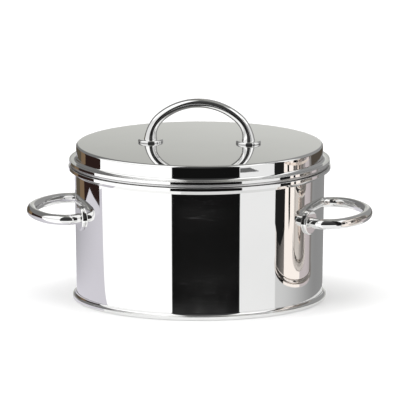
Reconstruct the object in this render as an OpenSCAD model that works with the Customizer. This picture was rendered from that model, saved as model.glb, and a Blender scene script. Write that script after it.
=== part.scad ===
// Soup kettle for a buffet: a polished pot on a foot ring, a lift-out soup insert that hangs in its mouth,
// and a lift-off lid. All sizes are in millimetres. The origin is the centre of the foot ring's underside,
// +Z is up and the two side handles lie on the X axis.

/* [Kettle] */
// Outer diameter of the wall at the mouth
mouth_d = 240; // [190:1:320]
// Outer diameter of the wall just above the foot ring
waist_d = 236; // [186:1:316]
// Height of the mouth above the table
mouth_h = 128.7; // [100:0.1:200]
// Thickness of the pot's sheet
wall_t = 1.2; // [0.8:0.1:2]
// Outer radius of the corner between wall and bottom
bottom_corner_r = 3.4; // [2.4:0.1:3.6]
// Height of the pot's underside above the table
bottom_lift = 2.6; // [2:0.1:4]

/* [Kettle rim] */
// How far the rim moulding stands out from the wall
rim_out = 5.7; // [4:0.1:9]
// Height of the moulding's upright band
rim_band_h = 3.3; // [2.5:0.1:6]
// Height of the sloping underside below the band
rim_slope_h = 3.7; // [2:0.1:8]
// Radius on the upper edge of the band
rim_edge_r = 0.7; // [0.3:0.1:1.2]

/* [Foot ring] */
// How far the foot ring stands out from the wall
foot_out = 3.6; // [2.5:0.1:8]
// Height of the foot ring
foot_h = 6.2; // [5:0.1:12]
// Radius of the cove between the wall and the foot's upright edge
foot_cove_r = 3.2; // [2:0.1:4]
// How far the foot ring reaches in under the pot
foot_in = 6; // [4:0.5:15]

/* [Soup insert] */
// Thickness of the insert's sheet
insert_t = 0.8; // [0.6:0.1:1.2]
// Radial clearance between the insert's neck and the kettle's mouth
insert_fit = 0.4; // [0.3:0.05:1]
// Depth of the neck that fits the mouth
neck_h = 6.8; // [5:0.1:12]
// Width of the water space between the walls, which clears the handle nuts
jacket_w = 7.8; // [7:0.1:15]
// Space between the kettle's bottom and the insert's
water_h = 11.2; // [8:0.1:30]
// Outer radius of the corner between the insert's wall and bottom
insert_corner_r = 12; // [4:1:20]
// Diameter of the bead rolled on the insert's edge
bead_d = 2.2; // [1.8:0.1:3.6]
// How far the bead lies inside the kettle rim's edge
bead_setback = 1.4; // [0.8:0.1:2.2]

/* [Lid] */
// Thickness of the lid's sheet
lid_t = 1.2; // [0.8:0.1:1.6]
// Height from the lid rim's underside to the edge of the flat top
lid_h = 17.5; // [14:0.1:30]
// Rise of the top from its edge to its middle
crown_h = 1.2; // [0:0.1:4]
// Outer radius of the corner between top and skirt
lid_corner_r = 2.4; // [1.8:0.1:4]
// Radius of the cove between the skirt and the flange
lid_cove_r = 2.8; // [2:0.1:3.4]
// Height of the lid rim's band
lid_rim_h = 2.9; // [2.5:0.1:5]
// How far the lid rim lies inside the kettle rim's edge
lid_rim_setback = 0.6; // [0:0.1:1]
// Width of the lip that hides the edge of the flange
lid_lip = 1.1; // [0.8:0.1:1.4]
// Thickness of the locating collar
collar_t = 1; // [0.8:0.1:1.5]
// Radial clearance between the collar and the insert's neck
collar_fit = 0.4; // [0.3:0.05:0.8]
// How far the collar reaches down into the neck
collar_drop = 8; // [5:0.5:8.4]
// How far the collar reaches up inside the skirt
collar_rise = 6; // [4:0.5:9]
// Inward turn of the collar's lower edge, which sheds drips into the pan
drip_in = 1; // [0.5:0.1:2]

/* [Side handles] */
// Height of the handles' centreline
grip_h = 83; // [55:1:100]
// Diameter of the bar
grip_d = 10; // [8:0.5:12]
// Distance from the wall to the centreline at the tip
grip_reach = 42; // [36:0.5:55]
// Half the width of the loop, to the centreline
grip_half_w = 56.6; // [50:0.2:70]
// Distance from the wall to the widest part of the loop
grip_wide_out = 5.4; // [3:0.2:12]
// Bend radius of the shoulders
shoulder_r = 25; // [20:0.5:30]
// Bend radius of the ends that turn in to the wall
turn_in_r = 14.4; // [12:0.2:18]

/* [Lid handle] */
// Distance between the two feet, on their centrelines
arch_span = 94.2; // [80:0.2:110]
// Rise of the centreline from the rosettes to the top
arch_rise = 35.7; // [32:0.1:45]
// Bend radius above the feet
arch_side_r = 28.8; // [24:0.2:32]
// Diameter of the bar at the top of the arch
arch_top_d = 8.8; // [7:0.1:11]
// Gain in diameter from the top of the arch down to the feet
arch_gain = 1.3; // [0:0.1:3]
// Extra diameter of the flared feet
foot_flare = 2.5; // [0:0.1:4]
// Height over which the feet flare
foot_flare_h = 14; // [8:0.5:18]

/* [Rosettes and fixings] */
// Diameter of the rosettes
rosette_d = 24; // [20:0.5:30]
// Thickness of the side rosettes above the wall
side_rosette_h = 2.6; // [2:0.1:4]
// Thickness of the lid rosettes
lid_rosette_h = 2.4; // [2:0.1:4]
// Radius on the rosettes' edge
rosette_edge_r = 1.5; // [0.8:0.1:1.8]
// Thread diameter of the studs and screws
thread_d = 5; // [4:1:6]
// Outer diameter of the washers
washer_d = 10; // [9:0.5:13]
// Thickness of the washers
washer_t = 1; // [0.8:0.1:1.5]
// Thickness of the nuts
nut_h = 2.7; // [2.4:0.1:3.5]
// Width of the nuts across their flats
nut_af = 8; // [8:0.5:10]
// Diameter of the screw heads
screw_head_d = 9.5; // [8:0.5:12]
// Height of the screw heads
screw_head_h = 2.8; // [2:0.1:3.5]
// Depth of the tapped holes in the feet of the lid handle
tapped_depth = 8; // [6:0.5:9]

/* [Hidden] */

// Clearances that every joint between pieces shares
braze_gap = 0.1;   // filled with solder on pieces that never come apart
seat_gap = 0.3;    // between the faces of pieces that rest on each other
cope_gap = 0.25;   // behind flat washers on a round wall
thread_gap = 0.05; // on the radius of a tapped hole
hole_gap = 0.2;    // on the radius of a clearance hole
over = 1;          // how far a cutting tool runs past the face it cuts
feather = 0.3;     // width of the land at the thin edge of a moulding
stud_over = 0.8;   // how far a stud shows past its nut
foot_seat = 0.3;   // between the pot's underside and the foot ring's shelf

// Kettle
mouth_r = mouth_d / 2;
waist_r = waist_d / 2;
mouth_in_r = mouth_r - wall_t;
mouth_z = mouth_h - rim_band_h - rim_slope_h;
rim_r = mouth_r + rim_out;
foot_r = waist_r + foot_out;
foot_in_r = waist_r - foot_in;

// Insert: it hangs by its flange and bead on the kettle rim, and its wall follows the kettle's taper
seat_z = mouth_h + seat_gap;
neck_r = mouth_in_r - insert_fit;
neck_z = seat_z - neck_h;
pan_r = mouth_in_r - jacket_w;
pan_top_z = neck_z - (neck_r - pan_r);
pan_z = bottom_lift + wall_t + water_h;
bead_r = bead_d / 2;
bead_x = rim_r - bead_setback - bead_r;
bend_r = insert_fit; // under the flange, so that it clears the edge of the mouth

// Lid: its rim rests on the insert's bead, its collar drops into the insert's neck
lid_z = seat_z + bead_d + seat_gap;
collar_r = neck_r - insert_t - collar_fit;
skirt_in_r = collar_r + braze_gap;
skirt_r = skirt_in_r + lid_t;
flange_z = lid_z + lid_rim_h;
lid_edge_z = lid_z + lid_h;
lid_rim_r = rim_r - lid_rim_setback;
flange_r = lid_rim_r - lid_lip - braze_gap;
crown_r = skirt_r - lid_corner_r;
crown_steps = 10;

// How far the wall leans out from the vertical
wall_lean = atan2(mouth_r - waist_r, mouth_z - foot_h);

// Side handles: a wide tip arc, two shoulders and two ends that turn in, all tangent to each other
grip_wall_r = wall_r(grip_h);
grip_wide_x = grip_wall_r + grip_wide_out;
shoulder_y = grip_half_w - shoulder_r;
turn_in_y = grip_half_w - turn_in_r;
tip_run = grip_reach - grip_wide_out;
tip_r = (pow(shoulder_r, 2) - pow(tip_run, 2) - pow(shoulder_y, 2)) / (2 * (shoulder_r - tip_run));
tip_x = grip_wall_r + grip_reach - tip_r;
tip_half_a = atan2(shoulder_y, grip_wide_x - tip_x);
// The ends turn in until their centreline meets the face of the rosettes
land_r = grip_wall_r + side_rosette_h;
turn_dist = norm([grip_wide_x, turn_in_y]);
turn_reach = (pow(land_r, 2) - pow(turn_dist, 2) - pow(turn_in_r, 2)) / (2 * turn_in_r * turn_dist);
turn_a = acos(turn_reach) - atan2(grip_wide_x, turn_in_y);
rosette_a = atan2(turn_in_y + turn_in_r * cos(turn_a), grip_wide_x - turn_in_r * sin(turn_a));
turn_extra_a = 25; // carried on past the rosette's face and cut off there
turn_in_steps = 14;
shoulder_steps = 8;
tip_steps = 12;

// Lid handle: a wide top arc between two tighter side arcs
arch_x = arch_span / 2;
arch_side_x = arch_x - arch_side_r;
arch_top_r = (pow(arch_side_x, 2) + pow(arch_rise, 2) - pow(arch_side_r, 2)) / (2 * (arch_rise - arch_side_r));
arch_split_a = atan2(arch_top_r - arch_rise, arch_side_x);
lid_rosette_z = lid_top_z(arch_x - rosette_d / 2) + braze_gap;
arch_z = lid_rosette_z + lid_rosette_h;
lid_washer_z = lid_top_z(arch_x + washer_d / 2) - lid_t - braze_gap;
arch_side_steps = 10;
arch_top_steps = 14;

thread_r = thread_d / 2;
steel = "silver";
bright = "gainsboro";
dark = "darkgray";
bar_sides = 24; // flats round a bent bar
fine = 180; // fragments on the large turned parts
round = 64; // fragments on rosettes and fixings

// Outer radius of the kettle's wall at height z
function wall_r(z) = waist_r + (mouth_r - waist_r) * (z - foot_h) / (mouth_z - foot_h);

// Height of the lid's outer surface at distance r from the middle
function lid_top_z(r) = lid_edge_z + crown_h * (1 - pow(r / crown_r, 2));

// ---- Outlines of the turned and drawn parts, in the half plane of radius and height ----

// Solid form of the pot, taken in by d on every side, and open at the top when it is cut away
module pot_form(d) {
    corner_r = bottom_corner_r - d;
    side_r = waist_r - d;
    corner_z = bottom_lift + d + corner_r;
    translate([0, bottom_lift + d]) square([side_r - corner_r, corner_r]);
    translate([side_r - corner_r, corner_z]) circle(corner_r, $fn = round);
    polygon([
        [0, corner_z], [side_r, corner_z], [side_r, foot_h], [mouth_r - d, mouth_z],
        [mouth_r - d, mouth_h + d], [0, mouth_h + d]
    ]);
}

// Solid form of the insert, taken in by d
module pan_form(d) {
    corner_r = insert_corner_r - d;
    corner_z = pan_z + d + corner_r;
    taper = max(0, wall_r(pan_top_z) - wall_r(corner_z));
    low_r = pan_r - taper - d;
    lift = d * tan(22.5);
    translate([0, pan_z + d]) square([low_r - corner_r, corner_r]);
    translate([low_r - corner_r, corner_z]) circle(corner_r, $fn = round);
    polygon([
        [0, corner_z], [low_r, corner_z], [pan_r - d, pan_top_z + lift], [neck_r - d, neck_z + lift],
        [neck_r - d, seat_z + insert_t], [0, seat_z + insert_t]
    ]);
}

// Solid form of the lid above its flange, taken in by d
module lid_form(d) {
    corner_r = lid_corner_r - d;
    side_r = skirt_r - d;
    corner_z = lid_edge_z - lid_corner_r;
    translate([0, flange_z - lid_t]) square([side_r, corner_z - flange_z + lid_t]);
    translate([crown_r, corner_z]) circle(corner_r, $fn = round);
    polygon(concat(
        [[0, corner_z], [crown_r, corner_z]],
        [for (i = [crown_steps : -1 : 0]) [crown_r * i / crown_steps, lid_top_z(crown_r * i / crown_steps) - d]]
    ));
    translate([0, flange_z - 2 * lid_t]) square([flange_r + d, 2 * lid_t - d]);
    // cove that sweeps the skirt out into the flange
    difference() {
        translate([side_r, flange_z - d]) square([lid_cove_r + d, lid_cove_r + d]);
        translate([skirt_r + lid_cove_r, flange_z + lid_cove_r]) circle(lid_cove_r + d, $fn = round);
    }
}

// Piece that fills the inside corner of two edges with a curve of radius r
module corner_fill(r) {
    difference() {
        square([r, r]);
        translate([r, r]) circle(r, $fn = round);
    }
}

// ---- Bent bars ----

// Stations [x, y, angle] along a bend about centre, from angle a to angle b; last = 1 adds the end itself
function bend(centre, r, a, b, steps, last = 0) = [for (i = [0 : steps - 1 + last])
    let (t = a + (b - a) * i / steps) [centre[0] + r * cos(t), centre[1] + r * sin(t), t]];

// Round bar whose centreline runs through the stations of path in the plane z = 0, with a radius for each
module swept_bar(path, radii) {
    rings = len(path);
    points = [for (i = [0 : rings - 1]) for (k = [0 : bar_sides - 1])
        let (t = path[i][2], r = radii[i], b = 360 * k / bar_sides)
        [path[i][0] + r * cos(b) * cos(t), path[i][1] + r * cos(b) * sin(t), r * sin(b)]];
    flanks = [for (i = [0 : rings - 2]) for (k = [0 : bar_sides - 1])
        let (a = i * bar_sides + k, b = i * bar_sides + (k + 1) % bar_sides) [a, b, b + bar_sides, a + bar_sides]];
    first = [for (k = [bar_sides - 1 : -1 : 0]) k];
    last = [for (k = [0 : bar_sides - 1]) (rings - 1) * bar_sides + k];
    polyhedron(points = points, faces = concat([first], flanks, [last]));
}

// ---- Kettle ----

module kettle_shell() {
    color(steel) difference() {
        rotate_extrude($fn = fine) difference() {
            pot_form(0);
            pot_form(wall_t);
        }
        for (side = [0, 180]) for (end = [-1, 1])
            on_wall(side, end) translate([0, 0, -wall_t - over])
                cylinder(r = thread_r + hole_gap, h = wall_t + 2 * over, $fn = round);
    }
}

module kettle_rim() {
    in_r = mouth_r + braze_gap;
    band_z = mouth_h - rim_band_h;
    color(bright) rotate_extrude($fn = fine) {
        polygon([[in_r, mouth_z], [in_r + feather, mouth_z], [rim_r, band_z], [in_r, band_z]]);
        translate([in_r, band_z]) square([rim_r - in_r, rim_band_h - rim_edge_r]);
        translate([in_r, band_z]) square([rim_r - rim_edge_r - in_r, rim_band_h]);
        translate([rim_r - rim_edge_r, mouth_h - rim_edge_r]) circle(rim_edge_r, $fn = round);
    }
}

module foot_ring() {
    in_r = waist_r + braze_gap;
    shelf_h = bottom_lift - foot_seat;
    color(bright) rotate_extrude($fn = fine) {
        difference() {
            translate([in_r, 0]) square([foot_r - in_r, foot_h]);
            translate([in_r + feather + foot_cove_r, foot_h]) circle(foot_cove_r, $fn = round);
        }
        translate([foot_in_r, 0]) square([foot_in, shelf_h]);
        translate([waist_r, 0]) square([2 * braze_gap, shelf_h]);
    }
}

// ---- Side handles: side is 0 on the right and 180 on the left, end is -1 or 1 ----

// Places a piece on the wall where a handle ends, with +Z along the outward normal
module on_wall(side, end) {
    rotate([0, 0, side + end * rosette_a]) translate([grip_wall_r, 0, grip_h])
        rotate([0, 90 + wall_lean, 0]) children();
}

// Path of the loop in plan, from the end at -Y round the tip to the end at +Y
function grip_path() = concat(
    bend([grip_wide_x, -turn_in_y], turn_in_r, -90 - turn_a - turn_extra_a, -90, turn_in_steps),
    bend([grip_wide_x, -shoulder_y], shoulder_r, -90, -tip_half_a, shoulder_steps),
    bend([tip_x, 0], tip_r, -tip_half_a, tip_half_a, tip_steps),
    bend([grip_wide_x, shoulder_y], shoulder_r, tip_half_a, 90, shoulder_steps),
    bend([grip_wide_x, turn_in_y], turn_in_r, 90, 90 + turn_a + turn_extra_a, turn_in_steps, 1)
);

module side_handle(side) {
    path = grip_path();
    color(bright) difference() {
        rotate([0, 0, side]) translate([0, 0, grip_h]) swept_bar(path, [for (station = path) grip_d / 2]);
        // the ends are cut flat where they stand on the rosettes
        for (end = [-1, 1]) on_wall(side, end) translate([0, 0, side_rosette_h - rosette_d])
            cylinder(d = rosette_d, h = rosette_d, $fn = round);
    }
}

// Disc with a rounded edge, from z = 0 up to z = h, with its flank carried down by skirt
module rosette_disc(h, skirt) {
    rosette_r = rosette_d / 2;
    rotate_extrude($fn = round) difference() {
        translate([0, -skirt]) square([rosette_r, h + skirt]);
        translate([rosette_r, h]) rotate(180) corner_fill(rosette_edge_r);
    }
}

// Rosette with its back hollowed to the wall, and a stud that passes through the wall to its nut
module side_rosette(side, end) {
    stud_l = wall_t + cope_gap + washer_t + braze_gap + nut_h + stud_over;
    color(bright) {
        difference() {
            on_wall(side, end) rosette_disc(side_rosette_h, over);
            rotate_extrude($fn = fine) pot_form(-braze_gap);
        }
        on_wall(side, end) translate([0, 0, -stud_l])
            cylinder(r = thread_r, h = stud_l + side_rosette_h / 2, $fn = round);
    }
}

module handle_washers() {
    color(dark) for (side = [0, 180]) for (end = [-1, 1])
        on_wall(side, end) translate([0, 0, -wall_t - cope_gap - washer_t]) washer();
}

module handle_nuts() {
    nut_z = wall_t + cope_gap + washer_t + braze_gap + nut_h;
    color(dark) for (side = [0, 180]) for (end = [-1, 1])
        on_wall(side, end) translate([0, 0, -nut_z]) difference() {
            cylinder(d = nut_af / cos(30), h = nut_h, $fn = 6);
            translate([0, 0, -over]) cylinder(r = thread_r + thread_gap, h = nut_h + 2 * over, $fn = round);
        }
}

module washer() {
    difference() {
        cylinder(d = washer_d, h = washer_t, $fn = round);
        translate([0, 0, -over]) cylinder(r = thread_r + hole_gap, h = washer_t + 2 * over, $fn = round);
    }
}

// ---- Soup insert ----

module soup_insert() {
    flange_top_z = seat_z + insert_t;
    inner_r = neck_r - insert_t;
    top_bend_r = bend_r + insert_t;
    color(steel) rotate_extrude($fn = fine) {
        difference() {
            union() {
                pan_form(0);
                translate([0, seat_z]) square([bead_x, insert_t]);
                translate([neck_r, seat_z]) mirror([0, 1]) corner_fill(bend_r);
            }
            pan_form(insert_t);
            translate([inner_r, flange_top_z]) mirror([0, 1]) corner_fill(top_bend_r);
        }
        translate([bead_x, seat_z + bead_r]) circle(bead_r, $fn = round);
    }
}

// ---- Lid ----

module lid_cover() {
    color(steel) difference() {
        rotate_extrude($fn = fine) difference() {
            lid_form(0);
            lid_form(lid_t);
        }
        for (side = [-1, 1]) translate([side * arch_x, 0, lid_washer_z - over])
            cylinder(r = thread_r + hole_gap, h = lid_rosette_z - lid_washer_z + 2 * over, $fn = round);
    }
}

module lid_rim() {
    shelf_z = flange_z - lid_t - braze_gap;
    lip_r = lid_rim_r - lid_lip;
    color(bright) rotate_extrude($fn = fine) {
        translate([skirt_in_r, lid_z]) square([lid_rim_r - skirt_in_r, shelf_z - lid_z]);
        translate([lip_r, lid_z]) square([lid_lip, lid_rim_h]);
    }
}

module lid_collar() {
    top_z = flange_z + collar_rise;
    low_z = lid_z - collar_drop;
    in_r = collar_r - collar_t;
    drip_h = 2 * drip_in;
    color(dark) rotate_extrude($fn = fine) polygon([
        [collar_r, top_z], [in_r, top_z], [in_r, low_z + drip_h], [in_r - drip_in, low_z],
        [collar_r - drip_in, low_z], [collar_r, low_z + drip_h]
    ]);
}

// Path of the arch seen from the front, from the foot at +X over the top to the foot at -X
function arch_path() = concat(
    bend([arch_side_x, 0], arch_side_r, 0, arch_split_a, arch_side_steps),
    bend([0, arch_rise - arch_top_r], arch_top_r, arch_split_a, 180 - arch_split_a, arch_top_steps),
    bend([-arch_side_x, 0], arch_side_r, 180 - arch_split_a, 180, arch_side_steps, 1)
);

// Radius of the arch's bar where its centreline has risen by h: it swells towards the feet and flares there
function arch_bar_r(h) =
    (arch_top_d + arch_gain * (1 - h / arch_rise) + foot_flare * pow(max(0, 1 - h / foot_flare_h), 2)) / 2;

module lid_handle() {
    path = arch_path();
    color(bright) difference() {
        translate([0, 0, arch_z]) rotate([90, 0, 0]) swept_bar(path, [for (station = path) arch_bar_r(station[1])]);
        for (side = [-1, 1]) translate([side * arch_x, 0, arch_z - over])
            cylinder(r = thread_r + thread_gap, h = tapped_depth + over, $fn = round);
    }
}

module lid_rosette(side) {
    color(bright) translate([side * arch_x, 0, lid_rosette_z]) difference() {
        rosette_disc(lid_rosette_h, 0);
        translate([0, 0, -over]) cylinder(r = thread_r + hole_gap, h = lid_rosette_h + 2 * over, $fn = round);
    }
}

module lid_washers() {
    color(dark) for (side = [-1, 1]) translate([side * arch_x, 0, lid_washer_z - washer_t]) washer();
}

module lid_screws() {
    head_z = lid_washer_z - washer_t - screw_head_h;
    tip_z = arch_z + tapped_depth - over;
    color(dark) for (side = [-1, 1]) translate([side * arch_x, 0, head_z]) {
        cylinder(d = screw_head_d, h = screw_head_h, $fn = round);
        cylinder(r = thread_r, h = tip_z - head_z, $fn = round);
    }
}

kettle_shell();
kettle_rim();
foot_ring();
side_handle(180);  // side_handle_left
side_handle(0);  // side_handle_right
side_rosette(180, 1);  // side_rosette_left_front
side_rosette(180, -1);  // side_rosette_left_back
side_rosette(0, -1);  // side_rosette_right_front
side_rosette(0, 1);  // side_rosette_right_back
handle_washers();
handle_nuts();
soup_insert();
lid_cover();
lid_rim();
lid_collar();
lid_handle();
lid_rosette(-1);  // lid_rosette_left
lid_rosette(1);  // lid_rosette_right
lid_screws();
lid_washers();
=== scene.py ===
import math

import bpy
from mathutils import Matrix, Vector


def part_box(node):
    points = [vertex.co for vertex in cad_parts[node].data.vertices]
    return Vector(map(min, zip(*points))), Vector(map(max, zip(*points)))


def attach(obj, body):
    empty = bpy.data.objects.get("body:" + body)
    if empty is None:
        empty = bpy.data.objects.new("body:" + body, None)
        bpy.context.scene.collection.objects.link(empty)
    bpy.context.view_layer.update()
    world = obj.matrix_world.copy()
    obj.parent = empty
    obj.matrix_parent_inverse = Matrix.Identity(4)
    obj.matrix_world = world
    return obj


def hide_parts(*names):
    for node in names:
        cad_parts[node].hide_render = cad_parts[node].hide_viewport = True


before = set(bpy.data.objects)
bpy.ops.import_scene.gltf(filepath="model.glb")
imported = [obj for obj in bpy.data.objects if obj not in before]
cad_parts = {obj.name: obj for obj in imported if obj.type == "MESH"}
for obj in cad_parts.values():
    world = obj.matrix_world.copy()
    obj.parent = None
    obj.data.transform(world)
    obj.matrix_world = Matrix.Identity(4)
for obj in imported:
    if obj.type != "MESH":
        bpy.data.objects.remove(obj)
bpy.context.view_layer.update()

# A stainless soup kettle on a pale table. Sizes are in millimetres and angles in degrees, and a mesh is
# scaled to metres when it is made. Heights are above the table, and radii are from the kettle's vertical
# axis. Names in small letters are sizes, and names in capitals are finishes, tables and units.
MM = 0.001
TINY = 1e-6


# ---- Sizes: what the frame gives, and the thicknesses and radii that it doesn't ----

def outer_r(node):
    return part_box(node)[1].x / MM


def low(node):
    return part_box(node)[0].z / MM


def top(node):
    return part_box(node)[1].z / MM


braze = 0.1        # solder between pieces that never come apart
seat = 0.3         # between pieces that rest on each other
soft_edge = 0.3    # radius that takes the sharpness off a turned edge

mouth_r = outer_r("kettle_shell")
mouth_h = top("kettle_shell")
base_h = low("kettle_shell")
wall_t = 1.2
waist_r = 118.0
taper_top_h = low("kettle_rim")
rim_r = outer_r("kettle_rim")
rim_band_h = 3.3   # of the rim's upright band
rim_edge_r = 0.7
rim_underside_r = 0.4
foot_r = outer_r("foot_ring")
foot_h = top("foot_ring")
foot_in = 6.0      # how far the foot ring reaches in under the pot
foot_cove_r = 3.2
wall_slope = (mouth_r - waist_r) / (taper_top_h - foot_h)
wall_lean = math.degrees(math.atan(wall_slope))

rosette_r = 12.0
rosette_edge_r = 1.5
side_rosette_t = 2.6
lid_rosette_t = 2.4

stud_r = 2.5
stud_past = 0.8        # how far a stud shows past its nut
thread_pitch = 0.8
thread_depth = 0.3
thread_point = 0.4     # chamfer at a stud's tip
thread_gap = 0.05      # round a thread in its nut
hole_gap = 0.2         # round a screw or a stud in its hole
cope_gap = 0.25        # behind a flat washer on the round wall
washer_r = 5.0
washer_t = 1.0
washer_edge_r = 0.15
nut_across = 8.0
nut_h = 2.7
hexagon = 6

rosette_steps = 96     # stations round a turned piece
washer_steps = 64
nut_steps = 48


def wall_r(height):
    """Outer radius of the kettle's tapered wall."""
    return waist_r + wall_slope * (height - foot_h)


# ---- Shader expressions ----

class Field:
    """A value, colour or vector that varies over a surface. Arithmetic on values adds Math nodes."""

    def __init__(self, tree, socket):
        self.tree = tree
        self.socket = socket

    def __add__(self, other):
        return self.tree.math("ADD", self, other)

    def __sub__(self, other):
        return self.tree.math("SUBTRACT", self, other)

    def __rsub__(self, other):
        return self.tree.math("SUBTRACT", other, self)

    def __mul__(self, other):
        return self.tree.math("MULTIPLY", self, other)

    __radd__ = __add__
    __rmul__ = __mul__


class Tree:
    """The shader nodes of a finish or of the studio around the table."""

    def __init__(self, owner):
        owner.use_nodes = True
        self.nodes = owner.node_tree.nodes
        self.links = owner.node_tree.links

    def node(self, kind, settings=None, inputs=None, output=0):
        """Adds a node: first its settings, then the values or links of its sockets. Gives one output."""
        made = self.nodes.new(kind)
        for key, value in (settings or {}).items():
            setattr(made, key, value)
        self.fill(made, inputs or {})
        return Field(self, made.outputs[output])

    def fill(self, made, inputs):
        """Sets the sockets of a node to values or links them to fields."""
        for key, value in inputs.items():
            if isinstance(value, Field):
                self.links.new(value.socket, made.inputs[key])
            else:
                made.inputs[key].default_value = value

    def math(self, operation, *operands):
        return self.node("ShaderNodeMath", {"operation": operation}, dict(enumerate(operands)))

    def split(self, vector):
        """The x, y and z of a vector."""
        first = self.node("ShaderNodeSeparateXYZ", None, {0: vector})
        return [Field(self, output) for output in first.socket.node.outputs]

    def vector(self, x, y, z):
        return self.node("ShaderNodeCombineXYZ", None, {0: x, 1: y, 2: z})

    def stretch(self, vector, x, y, z):
        """Scales each part of a vector."""
        return self.node("ShaderNodeVectorMath", {"operation": "MULTIPLY"}, {0: vector, 1: (x, y, z)})

    def step(self, value, low_end, high_end):
        """Rises smoothly from 0 to 1 while value goes from low_end to high_end."""
        smooth = {"interpolation_type": "SMOOTHSTEP"}
        return self.node("ShaderNodeMapRange", smooth, {0: value, 1: low_end, 2: high_end})

    def mix(self, factor, a, b):
        """Goes from colour a to colour b, by the colour sockets of a Mix node."""
        return self.node("ShaderNodeMix", {"data_type": "RGBA"}, {0: factor, 6: a, 7: b}, output=2)

    def noise(self, vector, scale, detail):
        return self.node("ShaderNodeTexNoise", None, {"Vector": vector, "Scale": scale, "Detail": detail})

    def place(self):
        """Where a point is on the kettle, in metres. It rides with the piece."""
        return self.node("ShaderNodeTexCoord", output=3)

    def around(self, place):
        """Distance from the vertical axis, angle round it and height, as a Field each."""
        x, y, z = self.split(place)
        return self.math("SQRT", x * x + y * y), self.math("ARCTAN2", y, x), z


def tint(red, green, blue):
    return (red, green, blue, 1.0)


def grey(level):
    return tint(level, level, level)


# ---- Finishes: how many marks a metre, how broad they are, and what they change ----

def scratches(tree, place, per_m):
    """Fine straight wear marks in two directions, 1 on a mark."""
    long_x, long_y, upright = per_m * 0.04, per_m * 0.05, per_m * 0.6
    slanted = tree.noise(tree.stretch(place, per_m, long_y, upright), scale=1.0, detail=1.0)
    crossed = tree.noise(tree.stretch(place, long_x, per_m, upright), scale=1.0, detail=1.0)
    marks = tree.math("MAXIMUM", slanted, crossed)
    return tree.step(marks, 0.66, 0.74)


def turned_lines(tree, place, per_m, per_turn, detail):
    """Lines that a wheel or a belt leaves round the vertical axis."""
    radius, turn, height = tree.around(place)
    rolled_out = tree.vector(radius * per_m, turn * per_turn, height * per_m)
    return tree.noise(rolled_out, scale=1.0, detail=detail)


def polished(tree, place, low_gloss):
    """Sockets of buffed steel: faint buffing lines round the axis, soft smears and a few fine scratches."""
    bright, dull = tint(0.835, 0.835, 0.83), tint(0.79, 0.79, 0.785)
    lines = turned_lines(tree, place, per_m=2200, per_turn=3, detail=3.0)
    smears = tree.step(tree.noise(place, scale=16.0, detail=4.0), 0.35, 0.75)
    handled = tree.step(tree.noise(place, scale=30.0, detail=2.0), 0.5, 0.62)
    worn = scratches(tree, place, per_m=900.0) * handled
    waves = tree.noise(place, scale=11.0, detail=1.0)
    return {
        "Base Color": tree.mix(smears * 0.5 + lines * 0.3, bright, dull),
        "Roughness": lines * 0.018 + smears * 0.016 + worn * 0.03 + low_gloss,
        "Height": waves * 1.6 + lines * 0.012 - worn * 0.015,
    }


def satin(tree, place, low_gloss):
    """Sockets of ground steel: dense lines round the axis that scatter the light, and dull clouds."""
    lines = turned_lines(tree, place, per_m=1500, per_turn=9, detail=4.0)
    clouds = tree.noise(place, scale=22.0, detail=3.0)
    return {
        "Base Color": tree.mix(lines * 0.6 + clouds * 0.4, grey(0.62), grey(0.74)),
        "Roughness": lines * 0.14 + clouds * 0.08 + low_gloss,
        "Height": lines * 0.75,
    }


def kettle_sheet(tree, place, mirror_gloss, satin_gloss):
    """Polished outside and ground inside and underneath, in one sheet."""
    radius, turn, height = tree.around(place)
    in_wall, out_wall = wall_r(0) - 0.8, wall_r(0) - 0.4   # both inside the sheet, where the looks change
    in_base, over_base = base_h + 0.6, base_h + 1.6
    outside = tree.step((radius - height * wall_slope) * (1 / MM), in_wall, out_wall)
    outside = outside * tree.step(height * (1 / MM), in_base, over_base)
    bright = polished(tree, place, mirror_gloss)
    ground = satin(tree, place, satin_gloss)
    return {
        "Base Color": tree.mix(outside, ground["Base Color"], bright["Base Color"]),
        "Roughness": ground["Roughness"] + outside * (bright["Roughness"] - ground["Roughness"]),
        "Height": ground["Height"] + outside * (bright["Height"] - ground["Height"]),
    }


def machined(tree, place, low_gloss):
    """Sockets of plain turned steel, with stains here and there."""
    clean, stained = tint(0.62, 0.62, 0.63), tint(0.5, 0.49, 0.47)
    grain = tree.noise(place, scale=900.0, detail=3.0)
    stains = tree.step(tree.noise(place, scale=170.0, detail=2.0), 0.35, 0.7)
    return {
        "Base Color": tree.mix(stains, clean, stained),
        "Roughness": grain * 0.14 + stains * 0.08 + low_gloss,
        "Height": grain * 0.75,
    }


def finish(name, sockets, *gloss):
    """A finish of bare metal whose sockets and height come from one of the functions above."""
    material = bpy.data.materials.new(name)
    tree = Tree(material)
    look = sockets(tree, tree.place(), *gloss)
    relief = tree.node("ShaderNodeBump", None, {
        "Strength": 0.1, "Distance": 0.0002, "Height": look.pop("Height")})
    tree.fill(tree.nodes["Principled BSDF"], {"Metallic": 1.0, "Normal": relief, **look})
    return material


MIRROR = finish("mirror_polished_steel", polished, 0.012)
TRIM = finish("polished_trim_steel", polished, 0.02)
BAR = finish("polished_bar_steel", polished, 0.02)
SATIN = finish("ground_steel", satin, 0.22)
SHEET = finish("kettle_sheet_steel", kettle_sheet, 0.012, 0.22)
FIXING = finish("machined_steel", machined, 0.24)


# ---- Shaping metal ----

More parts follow.
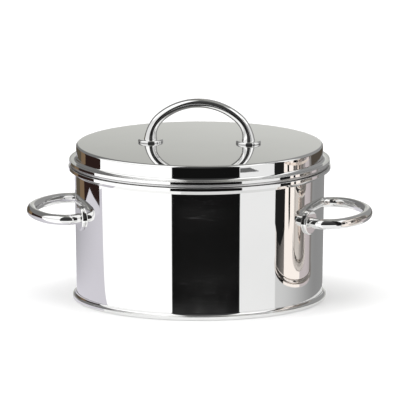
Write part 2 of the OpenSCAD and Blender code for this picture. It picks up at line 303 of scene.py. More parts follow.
class Outline:
    """A closed outline in the half plane of radius and height, walked with the metal on its left. side says
    which finish a stretch has, and flats says that it isn't round but has so many flat sides."""

    round_step = 7   # the turn in degrees from one station to the next round a soft corner

    def __init__(self, radius, height, side=0):
        self.start = (radius, height)
        self.side = side
        self.stretches = []

    def to(self, radius, height, soft=0.0, side=None, flats=0):
        """Goes straight to a corner that is rounded by the radius soft."""
        self.side = self.side if side is None else side
        self.stretches.append((self.side, flats, [(radius, height)], soft))
        return self

    def along(self, stations, side=None):
        """Follows stations of radius, height and the two parts of the normal."""
        self.side = self.side if side is None else side
        self.stretches.append((self.side, 0, stations, 0.0))
        return self

    def bead(self, radius, height, size, start, end, steps=20):
        """Goes anticlockwise round a bead, from the direction start to the direction end."""
        angles = [math.radians(start + (end - start) * i / steps) for i in range(steps + 1)]
        ways = [(math.cos(a), math.sin(a)) for a in angles]
        return self.along([(radius + size * x, height + size * y, x, y) for x, y in ways])

    def runs(self):
        """Every stretch as its side, its flats and its stations."""
        made = []
        here = self.start
        for i, (side, flats, stations, soft) in enumerate(self.stretches):
            end = stations[0][:2]
            length = math.dist(here, end)
            if length > TINY:
                normal = ((end[1] - here[1]) / length, (here[0] - end[0]) / length)
                run = [(*here, *normal), (*end, *normal)]
                if soft:
                    after = self.stretches[i + 1][2][0]
                    run[1:] = self.rounded(normal, end, after, soft)
                made.append((side, flats, run))
                here = run[-1][:2]
            if len(stations) > 1:
                made.append((side, flats, stations))
                here = stations[-1][:2]
        return made

    def rounded(self, normal, corner, after, soft):
        """Stations round a corner that is reached with this normal and left toward after."""
        ahead = (-normal[1], normal[0])
        leave = math.atan2(after[1] - corner[1], after[0] - corner[0])
        turn = math.remainder(leave - math.atan2(ahead[1], ahead[0]), 2 * math.pi)
        hand = math.copysign(1, turn)
        back = soft * math.tan(abs(turn) / 2)
        x, y = (corner[i] - ahead[i] * back - hand * soft * normal[i] for i in (0, 1))
        start = math.atan2(normal[1], normal[0])
        steps = max(2, round(abs(math.degrees(turn)) / self.round_step))
        angles = [start + turn * i / steps for i in range(steps + 1)]
        ways = [(math.cos(a), math.sin(a)) for a in angles]
        return [(x + hand * soft * right, y + hand * soft * up, right, up) for right, up in ways]


class Blank:
    """Metal that is being shaped: points, faces, and a normal for every corner of a face."""

    def __init__(self):
        self.points = []
        self.faces = []
        self.normals = []
        self.sides = []

    def turn(self, outline, steps=240, place=Matrix.Identity(4)):
        """Turns an outline round the Z axis and puts the result at place. outline may be a function of the
        angle, for a shape that isn't quite round."""
        lathe = [math.radians(360 * k / steps) for k in range(steps)]
        if callable(outline):
            outlines = [outline(math.degrees(a)).runs() for a in lathe]
        else:
            outlines = [outline.runs()] * steps
        rings = self.rings(lathe, outlines, place)
        lean = place.to_3x3()
        ring = -1
        for number, (side, flats, run) in enumerate(outlines[0]):
            for i in range(len(run) - 1):
                below, above = rings[ring], rings[ring + 1]
                for k in range(steps):
                    n = (k + 1) % steps
                    corners = {}
                    for point, j, m in (
                            (below[k], i, k), (below[n], i, n), (above[n], i + 1, n), (above[k], i + 1, k)):
                        if point in corners:
                            continue
                        _, _, out, up = outlines[m][number][2][j]
                        a = math.radians(flat_way(k, steps, flats)) if flats else lathe[m]
                        corners[point] = lean @ Vector((out * math.cos(a), out * math.sin(a), up))
                    if len(corners) > 2:
                        self.face(corners, side)
                ring += 1
        return self

    def rings(self, lathe, outlines, place):
        """Makes the points of every station all round, or one point for a station on the axis."""
        stations = [[station for _, _, run in runs for station in run[1:]] for runs in outlines]
        made = []
        for i, (_, height, _, _) in enumerate(stations[0]):
            first = len(self.points)
            if all(s[i][0] < TINY for s in stations):
                self.points.append(place @ Vector((0, 0, height)))
                made.append([first] * len(lathe))
                continue
            for a, s in zip(lathe, stations):
                self.points.append(place @ Vector((s[i][0] * math.cos(a), s[i][0] * math.sin(a), s[i][1])))
            made.append(list(range(first, len(self.points))))
        return made

    def face(self, corners, side=0):
        """Adds a face from its points and the normal at each."""
        self.faces.append(list(corners))
        self.normals.extend(corners.values())
        self.sides.append(side)

    def sweep(self, surface, spans, rings=150, around=40):
        """Bends a bar. surface(s, b) gives the point and the normal at length s and angle b round the bar,
        and spans(b) gives the lengths where that line of the bar starts and ends."""
        grid = []
        for k in range(around):
            b = 360 * k / around
            start, end = spans(b)
            grid.append([surface(start + (end - start) * i / rings, b) for i in range(rings + 1)])
        first = len(self.points)
        for i in range(rings + 1):
            self.points.extend(line[i][0] for line in grid)
        for i in range(rings):
            for k in range(around):
                n = (k + 1) % around
                row = first + i * around
                self.face({row + k: grid[k][i][1], row + around + k: grid[k][i + 1][1],
                           row + around + n: grid[n][i + 1][1], row + n: grid[n][i][1]})
        for row, order in ((first, 1), (first + rings * around, -1)):
            ends = [row + k for k in range(around)][::order]
            a, b, c = (self.points[ends[around * j // 3]] for j in range(3))
            flat = (b - a).cross(c - a).normalized()
            self.face({point: flat for point in ends})
        return self

    def piece(self, name, body, slot, finishes, node=None):
        """Makes the mesh, and says which body moves it and which node it stands for. The slot argument is
        not used.
        A piece without a body belongs to the studio."""
        mesh = bpy.data.meshes.new(name)
        mesh.from_pydata([p * MM for p in self.points], [], self.faces)
        mesh.polygons.foreach_set("use_smooth", [True] * len(self.faces))
        mesh.polygons.foreach_set("material_index", self.sides)
        for material in finishes:
            mesh.materials.append(material)
        mesh.update()
        mesh.normals_split_custom_set([n.normalized() for n in self.normals])
        made = bpy.data.objects.new(name, mesh)
        bpy.context.scene.collection.objects.link(made)
        if body:
            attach(made, body)
        if node:
            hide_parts(node)
        return made


class Bends:
    """A centreline of arcs in one plane that run on from each other anticlockwise."""

    def __init__(self, *arcs):
        """Each arc is its centre's two places, its radius and the directions where it starts and ends."""
        self.arcs = arcs
        self.lengths = [math.radians(end - start) * r for _, _, r, start, end in arcs]
        self.length = sum(self.lengths)

    def at(self, s):
        """The two places on the centreline at length s, and the direction away from the arc's centre."""
        for arc, length in zip(self.arcs, self.lengths):
            if s <= length or arc is self.arcs[-1]:
                x, y, r, start, _ = arc
                a = math.radians(start) + s / r
                return x + r * math.cos(a), y + r * math.sin(a), a
            s -= length


def flat_way(k, steps, flats):
    """The way that the flat side faces to which the step k of a lathe belongs, in degrees."""
    return 360 * (int((k + 0.5) * flats / steps) + 0.5) / flats


def flat_r(across, flats, angle):
    """Radius in the direction angle of a shape with flat sides that is so wide across them."""
    wedge = 360 / flats
    return across / 2 / math.cos(math.radians(angle % wedge - wedge / 2))


# ---- Kettle ----

def kettle_wall():
    """The pot keeps the mesh that the frame gives, and gets its two finishes."""
    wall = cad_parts["kettle_shell"]
    wall.data.materials.clear()
    wall.data.materials.append(SHEET)


def rim_moulding():
    in_r = mouth_r + braze
    line = Outline(in_r, taper_top_h)
    line.to(in_r + soft_edge, taper_top_h).to(rim_r, mouth_h - rim_band_h, rim_underside_r)
    line.to(rim_r, mouth_h, rim_edge_r).to(in_r, mouth_h).to(in_r, taper_top_h)
    return Blank().turn(line).piece("rim_moulding", "kettle", "polished_trim", [TRIM], "kettle_rim")


def foot_moulding():
    in_r = waist_r + braze
    shelf_r = waist_r - foot_in
    shelf_h = base_h - seat
    cove_r = foot_cove_r - 0.01   # a shade less than its stretch, so that the stretch doesn't vanish
    line = Outline(shelf_r, shelf_h)
    line.to(shelf_r, 0, soft_edge).to(foot_r, 0, soft_edge).to(foot_r, foot_h - foot_cove_r)
    line.to(foot_r - foot_cove_r, foot_h - foot_cove_r, cove_r).to(foot_r - foot_cove_r, foot_h)
    line.to(in_r, foot_h).to(in_r, shelf_h).to(shelf_r, shelf_h)
    return Blank().turn(line).piece("foot_moulding", "kettle", "polished_trim", [TRIM], "foot_ring")


# ---- Side handles: a wide tip arc, two shoulders and two ends that turn in ----

grip_h = (low("side_handle_right") + top("side_handle_right")) / 2
grip_bar_r = 5.0
grip_half_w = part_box("side_handle_right")[1].y / MM - grip_bar_r
grip_tip = outer_r("side_handle_right") - grip_bar_r
grip_wall_r = wall_r(grip_h)
grip_wide_out = 5.4    # how far out of the wall the loop is widest
grip_wide_x = grip_wall_r + grip_wide_out
shoulder_r = 25.0
turn_in_r = 14.4
shoulder_y = grip_half_w - shoulder_r
turn_in_y = grip_half_w - turn_in_r
tip_run = grip_tip - grip_wide_x
tip_r = (shoulder_r ** 2 - tip_run ** 2 - shoulder_y ** 2) / (2 * (shoulder_r - tip_run))
tip_x = grip_tip - tip_r
tip_half_a = math.degrees(math.atan2(shoulder_y, grip_wide_x - tip_x))

# The ends turn in until their centreline meets the face of the rosettes.
land_r = grip_wall_r + side_rosette_t
turn_dist = math.hypot(grip_wide_x, turn_in_y)
turn_reach = (land_r ** 2 - turn_dist ** 2 - turn_in_r ** 2) / (2 * turn_in_r * turn_dist)
turn_a = math.degrees(math.acos(turn_reach) - math.atan2(grip_wide_x, turn_in_y))
end_x = grip_wide_x - turn_in_r * math.sin(math.radians(turn_a))
end_y = turn_in_y + turn_in_r * math.cos(math.radians(turn_a))
rosette_a = math.degrees(math.atan2(end_y, end_x))
turn_past = 25.0       # carried on past the rosette's face and cut off there
halvings = 40          # of a length, until it meets that face
stud_l = wall_t + cope_gap + washer_t + braze + nut_h + stud_past


def on_wall(side, end, out=0.0):
    """Place on the wall where a handle ends, with +Z as the way out of the wall. side is 0 on the right and
    180 on the left, and end is -1 or 1."""
    around = Matrix.Rotation(math.radians(side + end * rosette_a), 4, "Z")
    lean = Matrix.Rotation(math.radians(90 + wall_lean), 4, "Y")
    return around @ Matrix.Translation((grip_wall_r, 0, grip_h)) @ lean @ Matrix.Translation((0, 0, out))


def side_grip(name, side):
    """A bar bent into a loop whose ends stand flat on their rosettes."""
    past = turn_a + turn_past
    path = Bends((grip_wide_x, -turn_in_y, turn_in_r, -90 - past, -90),
                 (grip_wide_x, -shoulder_y, shoulder_r, -90, -tip_half_a),
                 (tip_x, 0.0, tip_r, -tip_half_a, tip_half_a),
                 (grip_wide_x, shoulder_y, shoulder_r, tip_half_a, 90),
                 (grip_wide_x, turn_in_y, turn_in_r, 90, 90 + past))
    turned = Matrix.Rotation(math.radians(side), 4, "Z")
    faces = [on_wall(side, end, side_rosette_t).inverted() for end in (-1, 1)]
    bend_length = math.radians(past) * turn_in_r

    def surface(s, b):
        x, y, a = path.at(s)
        b = math.radians(b)
        normal = Vector((math.cos(b) * math.cos(a), math.cos(b) * math.sin(a), math.sin(b)))
        return turned @ (Vector((x, y, grip_h)) + grip_bar_r * normal), turned.to_3x3() @ normal

    def meet(b, face, inside, outside):
        """Length where the line b of the bar passes through the face of a rosette."""
        for _ in range(halvings):
            middle = (inside + outside) / 2
            if (face @ surface(middle, b)[0]).z < 0:
                inside = middle
            else:
                outside = middle
        return outside

    def spans(b):
        start = meet(b, faces[0], 0, bend_length)
        return start, meet(b, faces[1], path.length, path.length - bend_length)

    Blank().sweep(surface, spans).piece(name, "kettle", "polished_bar", [BAR], name)


def side_rosette(name, side, end):
    """A disc with a soft edge whose back follows the wall, on a threaded stud that goes in to its nut."""
    place = on_wall(side, end)
    threads = 5
    back_rings = 4
    fittings = 4

    def back(radius, angle):
        """Height of the wall's outer face over the middle of the rosette, fitted closer each time."""
        a = math.radians(angle)
        height = 0.0
        for _ in range(fittings):
            p = place @ Vector((radius * math.cos(a), radius * math.sin(a), height))
            height += wall_r(p.z) + braze - math.hypot(p.x, p.y)
        return height

    def outline(angle):
        line = Outline(0, -stud_l).to(stud_r - thread_point, -stud_l).to(stud_r, thread_point - stud_l)
        for i in range(threads):
            thread = thread_pitch * i + thread_point - stud_l
            line.to(stud_r - thread_depth, thread + thread_pitch / 2).to(stud_r, thread + thread_pitch)
        line.to(stud_r, back(stud_r, angle))
        for i in range(1, back_rings + 1):
            radius = stud_r + (rosette_r - stud_r) * i / back_rings
            line.to(radius, back(radius, angle))
        return line.to(rosette_r, side_rosette_t, rosette_edge_r).to(0, side_rosette_t)

    Blank().turn(outline, rosette_steps, place).piece(name, "kettle", "polished_rosette", [BAR], name)


def side_fixings():
    """The washer and the nut behind the wall at every handle end."""
    washers, nuts = Blank(), Blank()
    washer_out = wall_t + cope_gap + washer_t
    nut_out = washer_out + braze + nut_h
    for side in (0, 180):
        for end in (-1, 1):
            washers.turn(washer(), washer_steps, on_wall(side, end, -washer_out))
            nuts.turn(nut, nut_steps, on_wall(side, end, -nut_out))
    washers.piece("side_washers", "kettle", "plain_fixings", [FIXING], "handle_washers")
    nuts.piece("side_nuts", "kettle", "plain_fixings", [FIXING], "handle_nuts")


def washer():
    """A flat washer with soft edges."""
    hole_r = stud_r + hole_gap
    line = Outline(hole_r, 0).to(washer_r, 0, washer_edge_r).to(washer_r, washer_t, washer_edge_r)
    return line.to(hole_r, washer_t).to(hole_r, 0)


def nut(angle):
    """A hexagon nut with chamfered corners and hole."""
    corner_slope, face_in, hole_chamfer = 0.5, 0.1, 0.4
    face_r = nut_across / 2 - face_in
    corner_r = flat_r(nut_across, hexagon, angle)
    drop = (corner_r - face_r) * corner_slope
    hole_r = stud_r + thread_gap
    line = Outline(hole_r + hole_chamfer, 0).to(face_r, 0).to(corner_r, drop)
    line.to(corner_r, nut_h - drop, flats=hexagon).to(face_r, nut_h).to(hole_r + hole_chamfer, nut_h)
    return line.to(hole_r, nut_h - hole_chamfer).to(hole_r, hole_chamfer).to(hole_r + hole_chamfer, 0)


# ---- Soup insert: it hangs by its flange and its rolled bead on the kettle's rim ----

pan_t = 0.8
pan_neck_r = 118.4
pan_neck_h = 122.2     # where the neck ends, above the table
pan_wide_r = 111.0     # of the wall at its top
pan_low_r = 109.48     # of the wall above its corner
pan_corner_r = 12.0
pan_bend_r = 0.4       # under the flange
pan_bead_r = 1.1
seat_h = mouth_h + seat


def soup_pan():
    base = low("soup_insert")
    wide_h = pan_neck_h - (pan_neck_r - pan_wide_r)
    taper = (pan_wide_r - pan_low_r) / (wide_h - base - pan_corner_r)
    low_r = pan_low_r - taper * pan_corner_r   # carried on down to the base
    in_r, in_base = pan_neck_r - pan_t, base + pan_t
    lift = pan_t * math.tan(math.radians(22.5))   # the inside of a bend of 45 degrees lies this much higher
    bead_x = outer_r("soup_insert") - pan_bead_r
    bead_end = 180 + math.degrees(math.asin((pan_bead_r - pan_t) / pan_bead_r))
    line = Outline(0, base)
    line.to(low_r, base, pan_corner_r).to(pan_wide_r, wide_h).to(pan_neck_r, pan_neck_h)
    line.to(pan_neck_r, seat_h, pan_bend_r)
    line.to(bead_x, seat_h).bead(bead_x, seat_h + pan_bead_r, pan_bead_r, -90, bead_end)
    line.to(in_r, seat_h + pan_t, pan_bend_r + pan_t)
    line.to(in_r, pan_neck_h + lift).to(pan_wide_r - pan_t, wide_h + lift)
    line.to(low_r - pan_t, in_base, pan_corner_r - pan_t).to(0, in_base).to(0, base)
    return Blank().turn(line).piece("soup_pan", "insert", "satin_insert", [SATIN], "soup_insert")


# ---- Lid ----

lid_t = 1.2
lid_h = low("lid_rim")
lid_rim_r = outer_r("lid_rim")
lid_lip = 1.1          # hides the edge of the flange
flange_h = top("lid_rim")
flange_r = outer_r("lid_cover")
skirt_r = 118.5
skirt_cove_r = 2.8
lid_corner_r = 2.4
lid_edge_h = 149.0
crown_r = skirt_r - lid_corner_r
crown_rise = top("lid_cover") - lid_edge_h
crown_rings = 24
collar_t = 1.0
collar_turn = 2.0      # height of its turned-in edge
drip_in = 1.0          # how far that edge turns in


def lid_top(radius):
    """Height of the lid's outer face."""
    return lid_edge_h + crown_rise * (1 - (radius / crown_r) ** 2)


def lid_sheet():
    """The domed cover with its skirt and flange, polished outside and ground inside."""
    under = flange_h - lid_t
    in_r, in_edge_h = skirt_r - lid_t, lid_edge_h - lid_t
    in_corner_r, in_cove_r = lid_corner_r - lid_t, skirt_cove_r + lid_t
    radii = [crown_r * i / crown_rings for i in range(crown_rings + 1)]

    def crown(drop, places, up):
        slopes = [(r, 2 * crown_rise * r / crown_r ** 2) for r in places]
        return [(r, lid_top(r) - drop, up * s / math.hypot(1, s), up / math.hypot(1, s)) for r, s in slopes]

    outside, inside = 0, 1   # places in its list of finishes
    line = Outline(skirt_r + skirt_cove_r, under, inside)
    line.to(flange_r, under, soft_edge).to(flange_r, flange_h, soft_edge)
    line.to(skirt_r, flange_h, skirt_cove_r, side=outside).to(skirt_r, lid_edge_h, lid_corner_r)
    line.along(crown(0, radii[::-1], 1))
    line.to(0, lid_top(0) - lid_t, side=inside).along(crown(lid_t, radii, -1))
    line.to(in_r, in_edge_h, in_corner_r).to(in_r, under, in_cove_r).to(skirt_r + skirt_cove_r, under)
    return Blank().turn(line).piece("lid_sheet", "lid", "polished_lid", [MIRROR, SATIN], "lid_cover")


def lid_band():
    """The moulding round the lid, with a shelf for the flange."""
    in_r = skirt_r - lid_t
    lip_r = lid_rim_r - lid_lip
    shelf_h = flange_h - lid_t - braze
    line = Outline(in_r, lid_h).to(lid_rim_r, lid_h, soft_edge).to(lid_rim_r, flange_h, soft_edge)
    line.to(lip_r, flange_h).to(lip_r, shelf_h).to(in_r, shelf_h).to(in_r, lid_h)
    return Blank().turn(line).piece("lid_band", "lid", "polished_trim", [TRIM], "lid_rim")


def lid_guide():
    """The collar that drops into the insert's neck. Its turned-in edge sheds drips into the pan."""
    out_r = outer_r("lid_collar")
    in_r = out_r - collar_t
    edge, end_h = low("lid_collar"), top("lid_collar")
    bend_h = edge + collar_turn
    line = Outline(out_r, bend_h).to(out_r, end_h).to(in_r, end_h).to(in_r, bend_h)
    line.to(in_r - drip_in, edge).to(out_r - drip_in, edge).to(out_r, bend_h)
    Blank().turn(line).piece("lid_guide", "lid", "satin_insert", [SATIN], "lid_collar")


# ---- Lid handle: a wide top arc between two tighter side arcs ----

arch_x = 47.1          # of each foot
arch_side_r = 28.8
arch_side_x = arch_x - arch_side_r
arch_h = lid_top(arch_x - rosette_r) + braze + lid_rosette_t
arch_bar_r = 4.4       # of the bar at the top
arch_gain = 0.65       # what its radius gains down to the feet
flare_gain = 1.25      # and what the flare of the feet adds
flare_h = 14.0
arch_rise = top("lid_handle") - arch_h - arch_bar_r
arch_top_r = (arch_side_x ** 2 + arch_rise ** 2 - arch_side_r ** 2) / (2 * (arch_rise - arch_side_r))
arch_split_a = math.degrees(math.atan2(arch_top_r - arch_rise, arch_side_x))


def lid_grip():
    """An arched bar that swells towards its feet and flares on the rosettes."""
    path = Bends((arch_side_x, 0.0, arch_side_r, 0, arch_split_a),
                 (0.0, arch_rise - arch_top_r, arch_top_r, arch_split_a, 180 - arch_split_a),
                 (-arch_side_x, 0.0, arch_side_r, 180 - arch_split_a, 180))
    nearby = 0.01

    def bar_r(s):
        height = path.at(s)[1]
        flare = max(0, 1 - height / flare_h)
        return arch_bar_r + arch_gain * (1 - height / arch_rise) + flare_gain * flare ** 2

    def surface(s, b):
        x, height, a = path.at(s)
        b = math.radians(b)
        growth = (bar_r(s + nearby) - bar_r(s - nearby)) / (2 * nearby)
        along = Vector((-math.sin(a), 0, math.cos(a)))
        out = Vector((math.cos(b) * math.cos(a), -math.sin(b), math.cos(b) * math.sin(a)))
        return Vector((x, 0, arch_h + height)) + bar_r(s) * out, out - growth * along

    grip = Blank().sweep(surface, lambda b: (0, path.length), rings=160)
    grip.piece("lid_grip", "lid", "polished_bar", [BAR], "lid_handle")


def lid_rosette(name, side):
    hole_r = stud_r + hole_gap
    line = Outline(hole_r, 0).to(rosette_r, 0).to(rosette_r, lid_rosette_t, rosette_edge_r)
    line.to(hole_r, lid_rosette_t).to(hole_r, 0)
    place = Matrix.Translation((side * arch_x, 0, low(name)))
    Blank().turn(line, rosette_steps, place).piece(name, "lid", "polished_rosette", [BAR], name)


def lid_fixings():
    """A washer and a socket screw under the lid at each foot of the handle."""
    washers, screws = Blank(), Blank()
    head_r, head_t, head_edge_r = 4.75, 2.8, 0.4
    socket_across, socket_depth, tip_chamfer = 4.0, 1.6, 0.5
    washer_h, head_h = low("lid_washers"), low("lid_screws")
    length = top("lid_screws") - head_h

    def screw(angle):
        socket_r = flat_r(socket_across, hexagon, angle)
        line = Outline(0, socket_depth).to(socket_r, socket_depth).to(socket_r, 0, flats=hexagon)
        line.to(head_r, 0, head_edge_r).to(head_r, head_t).to(stud_r, head_t)
        return line.to(stud_r, length - tip_chamfer).to(stud_r - tip_chamfer, length).to(0, length)

    for side in (-1, 1):
        washers.turn(washer(), washer_steps, Matrix.Translation((side * arch_x, 0, washer_h)))
        screws.turn(screw, nut_steps, Matrix.Translation((side * arch_x, 0, head_h)))
    washers.piece("under_washers", "lid", "plain_fixings", [FIXING], "lid_washers")
    screws.piece("socket_screws", "lid", "plain_fixings", [FIXING], "lid_screws")


kettle_wall()
rim = rim_moulding()
foot = foot_moulding()
side_grip("side_handle_left", 180)
side_grip("side_handle_right", 0)
side_rosette("side_rosette_left_front", 180, 1)
side_rosette("side_rosette_left_back", 180, -1)
side_rosette("side_rosette_right_front", 0, -1)
side_rosette("side_rosette_right_back", 0, 1)
side_fixings()
soup_pan()
lid = lid_sheet()
band = lid_band()
lid_guide()
lid_grip()
lid_rosette("lid_rosette_left", -1)
lid_rosette("lid_rosette_right", 1)
lid_fixings()


# ---- Studio ----

view_around = 5.1      # the camera stands this far round to the right
view_up = 10.8         # and looks down this much
view_run = 12800.0
view_lens = 1200.0
view_sensor = 36.0
view_end_m = 100.0     # nothing is drawn beyond this
view_h = 93.7          # height at the middle of the view
view_shift = 0.48      # how far the middle of the view lies to the right of the axis


def toward_camera(across, toward, up=0.0):
    """A place given to the camera's right, toward the camera and up, all in millimetres."""
    a = math.radians(view_around)
    right, front = Vector((math.cos(a), math.sin(a), 0)), Vector((math.sin(a), -math.cos(a), 0))
    return (right * across + front * toward + Vector((0, 0, up))) * MM


def camera():
    """A long lens far away, so that upright edges stay upright."""
    lens = bpy.data.cameras.new("camera")
    lens.lens = view_lens
    lens.sensor_width = view_sensor
    lens.clip_end = view_end_m
    made = bpy.data.objects.new("camera", lens)
    bpy.context.scene.collection.objects.link(made)
    up = math.radians(view_up)
    target = toward_camera(view_shift, 0, view_h)
    back = toward_camera(0, math.cos(up), math.sin(up)) / MM
    made.location = target + back * view_run * MM
    made.rotation_euler = (-back).to_track_quat("-Z", "Y").to_euler()
    bpy.context.scene.camera = made


def staged(made, mirrored):
    """Part of the studio. What is mirrored shows in the polished steel and nowhere else, and the rest of the
    studio doesn't show there."""
    made.visible_camera = made.visible_diffuse = made.visible_shadow = not mirrored
    made.visible_glossy = mirrored
    made.visible_transmission = made.visible_volume_scatter = False


def table():
    """A wide pale table, and the disc of it round the foot that the steel mirrors."""
    paint = bpy.data.materials.new("pale_table")
    tree = Tree(paint)
    tree.fill(tree.nodes["Principled BSDF"], {
        "Base Color": grey(0.86), "Roughness": 0.9, "Emission Color": grey(1.0), "Emission Strength": 0.12})
    thickness = 1.0
    discs = (("table", 12000.0, 0.3, False), ("table_by_the_foot", 138.0, 0.1, True))
    for name, radius, depth, mirrored in discs:
        under = -depth - thickness
        line = Outline(0, under).to(radius, under).to(radius, -depth).to(0, -depth)
        staged(Blank().turn(line, rosette_steps).piece(name, None, None, [paint]), mirrored)


def overhead_light():
    """A big soft box over the table, which lights the table and isn't mirrored."""
    across_m, height_m, watts = 5.0, 4.0, 165.0
    box = bpy.data.lights.new("soft_box", "AREA")
    box.shape = "DISK"
    box.size = across_m
    box.energy = watts
    made = bpy.data.objects.new("soft_box", box)
    bpy.context.scene.collection.objects.link(made)
    made.location = (0, 0, height_m)
    made.visible_glossy = made.visible_camera = False


def mirrored_at(turn, run, up=0.0):
    """What the kettle's wall mirrors where its normal is turned away from the camera: the place run away."""
    a = math.radians(turn)
    return toward_camera(mouth_r * math.sin(a) + run * math.sin(2 * a),
                         mouth_r * math.cos(a) + run * math.cos(2 * a), up)


def round_kettle(turn, radius, up=0.0):
    """A place at this radius from the kettle's axis, turned away from the camera's side."""
    a = math.radians(turn)
    return toward_camera(radius * math.sin(a), radius * math.cos(a), up)


def across_and_toward(x, y):
    """How far to the camera's right and toward the camera a point of a shader is."""
    a = math.radians(view_around)
    return x * math.cos(a) + y * math.sin(a), x * math.sin(a) - y * math.cos(a)


def azimuth(tree, across, toward):
    """Angle round the kettle from the camera's side, positive to the camera's right."""
    return tree.math("ARCTAN2", across, toward) * math.degrees(1)


def fading_lavender(tree):
    """Lavender that gets darker towards the back."""
    x, y, _ = tree.split(tree.place())
    around = azimuth(tree, *across_and_toward(x, y))
    return tree.mix(tree.step(around, -165, -85), tint(0.38, 0.375, 0.40), tint(0.74, 0.72, 0.78))


def panel(name, corners, tone):
    """A flat studio card, seen only in the polished steel. Its tone is a colour or made by its own nodes."""
    paper = bpy.data.materials.new(name)
    tree = Tree(paper)
    if callable(tone):
        tone = tone(tree)
    tree.fill(tree.nodes["Principled BSDF"], {
        "Base Color": grey(0.0), "Roughness": 1.0, "Specular IOR Level": 0.0, "Emission Color": tone,
        "Emission Strength": 1.0})
    mesh = bpy.data.meshes.new(name)
    mesh.from_pydata(corners, [], [list(range(len(corners)))])
    mesh.materials.append(paper)
    made = bpy.data.objects.new(name, mesh)
    bpy.context.scene.collection.objects.link(made)
    staged(made, True)


def standing(name, run, corners, tone):
    """A card that stands this run away from the wall. Each corner is its turn and its height."""
    panel(name, [mirrored_at(turn, run, height) for turn, height in corners], tone)


def standing_panels():
    """Brown and tan boards that stand to the left, and what lies or stands near the kettle."""
    board_run, board_top = 466.0, 170.0
    boards = ((-73, -67.3, tint(0.22, 0.15, 0.09)), (-81, -73, tint(0.11, 0.09, 0.065)),
              (-67.3, -53.2, tint(0.028, 0.015, 0.013)))
    for i, (left, right, tone) in enumerate(boards):
        corners = ((left, 0), (right, 0), (right, board_top), (left, board_top))
        standing(f"board_{i}", board_run, corners, tone)

    black_run, black_top = 95.0, 298.4
    card = ((37.3, 68.4), (39.0, 50.4), (40.6, 44.4), (42.0, 52.4), (43.2, 60.4), (43.2, black_top),
            (37.3, black_top))
    standing("black_card", black_run, card, grey(0.016))

    bar_run, bar_low, bar_top = 200.0, 103.5, 108.0
    bar = ((19.2, bar_low), (24, bar_low), (29, bar_low), (25, 107), (24, bar_top), (19.2, bar_top))
    standing("grey_bar", bar_run, bar, grey(0.16))

    paper_run = 440.0
    paper = ((-69.8, 0), (-61.6, 25), (-57.5, 13), (-53.3, 7), (-53.3, 0))
    standing("white_paper", paper_run, paper, tint(0.76, 0.745, 0.80))

    lying = 0.2        # what lies on the table is this high
    near, far = 8.0, 560.0
    cloth = ((-47.7, near), (-51.3, far), (-62, far), (-75, far), (-88, far), (-88, near), (-75, near),
             (-62, near))
    panel("lavender_cloth", [mirrored_at(turn, run, lying) for turn, run in cloth], fading_lavender)

    floor_r, floor_end_r = 780.0, 4000.0
    turns = range(110, 251, 10)
    edge = [round_kettle(turn, floor_r, lying) for turn in turns]
    wide = [round_kettle(turn, floor_end_r, lying) for turn in turns[::-1]]
    panel("dark_floor_behind", edge + wide, tint(0.09, 0.075, 0.06))


def neighbour(*pieces):
    """A second kettle that stands to the right and shows only as a reflection."""
    across, toward = 314.0, 37.0
    base, corner_r = 5.0, 3.0
    wall = Outline(0, base).to(waist_r, base, corner_r).to(mouth_r, taper_top_h)
    wall.to(mouth_r, mouth_h).to(0, mouth_h)
    shapes = [Blank().turn(wall).piece("neighbour_wall", None, None, [MIRROR])]
    for piece in pieces:
        shapes.append(bpy.data.objects.new("neighbour_" + piece.name, piece.data))
        bpy.context.scene.collection.objects.link(shapes[-1])
    steel = bpy.data.materials.new("neighbour_steel")
    Tree(steel).fill(steel.node_tree.nodes["Principled BSDF"], {
        "Base Color": tint(0.86, 0.79, 0.74), "Metallic": 1.0, "Roughness": 0.03})
    for shape in shapes:
        for slot in shape.material_slots:
            slot.link = "OBJECT"
            slot.material = steel
        shape.location = toward_camera(across, toward)
        staged(shape, True)


# The room's own tones on the left and on the right, of its walls and of its darker ceiling.
WALLS = (tint(0.63, 0.635, 0.605), tint(0.76, 0.765, 0.735))
CEILINGS = (tint(0.31, 0.31, 0.292), tint(0.40, 0.40, 0.378))

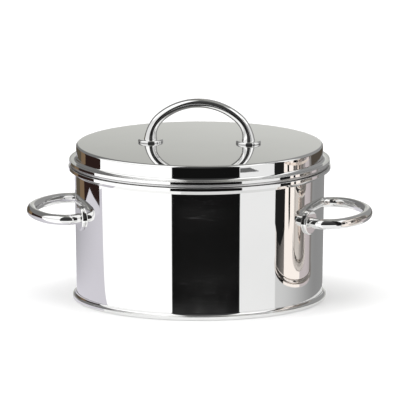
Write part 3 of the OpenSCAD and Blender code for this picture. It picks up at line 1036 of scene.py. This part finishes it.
# What surrounds the table, as the steel mirrors it: from and to in azimuth, how soft those edges are, from
# and to in elevation, and the brightness. Each covers those before it.
SURROUNDINGS = (
    (-190, 190, 0.7, -95, -28, grey(1.0)),
    (75.5, 190, 0.7, -28, 0, grey(0.72)),
    (108, 230, 32, -28, 0, grey(0.30)),
    (-190, -108, 0.7, -28, 0, tint(0.74, 0.72, 0.78)),
    (-230, -165, 25, -28, 0, tint(0.60, 0.59, 0.64)),
    (-108, -26, 0.7, -95, 75, grey(1.35)),
    (-26, 38, 0.7, -28, 4, grey(1.35)),
    (-25.8, 38, 0.3, -15, 4, grey(0.007)),
    (38, 75.5, 0.7, -95, 4, grey(0.98)),
    (38, 108, 2, 4, 60, grey(1.35)),
    (-108, -26, 2, 5, 24, grey(0.90)),
    (38, 108, 2, 5, 24, grey(0.90)),
    (108, 172, 2, -2, 70, grey(0.32)),
    (-172, -112, 2, -2, 70, grey(0.20)),
    (-26, 38, 0.7, 54, 86, grey(0.15)),
    (-26, 38, 0.7, 2, 56, grey(0.05)),
)


def studio():
    """The room, whose tones depend only on the direction in it."""
    left_to_right = 0.035    # the walls' tones pass into each other over this, each way
    ceiling_from, ceiling_to = 4, 22
    level_soft = 2           # of the low and the high edge of what surrounds the table
    world = bpy.data.worlds.new("studio")
    bpy.context.scene.world = world
    sky = Tree(world)
    x, y, z = sky.split(sky.node("ShaderNodeTexCoord"))
    across, toward = across_and_toward(x, y)
    around = azimuth(sky, across, toward)
    elevation = sky.math("ARCSINE", z) * math.degrees(1)
    on_right = sky.step(across, -left_to_right, left_to_right)
    overhead = sky.step(elevation, ceiling_from, ceiling_to)
    colour = sky.mix(overhead, sky.mix(on_right, *WALLS), sky.mix(on_right, *CEILINGS))

    def past(value, edge, soft):
        return sky.step(value, edge - soft, edge + soft)

    for left, right, soft, bottom, up, tone in SURROUNDINGS:
        inside = past(around, left, soft) * (1 - past(around, right, soft))
        inside = inside * past(elevation, bottom, level_soft) * (1 - past(elevation, up, level_soft))
        colour = sky.mix(inside, colour, tone)
    sky.fill(sky.nodes["Background"], {"Color": colour})
    bpy.context.scene.view_settings.view_transform = "Standard"


camera()
table()
overhead_light()
standing_panels()
neighbour(rim, foot, lid, band)
studio()
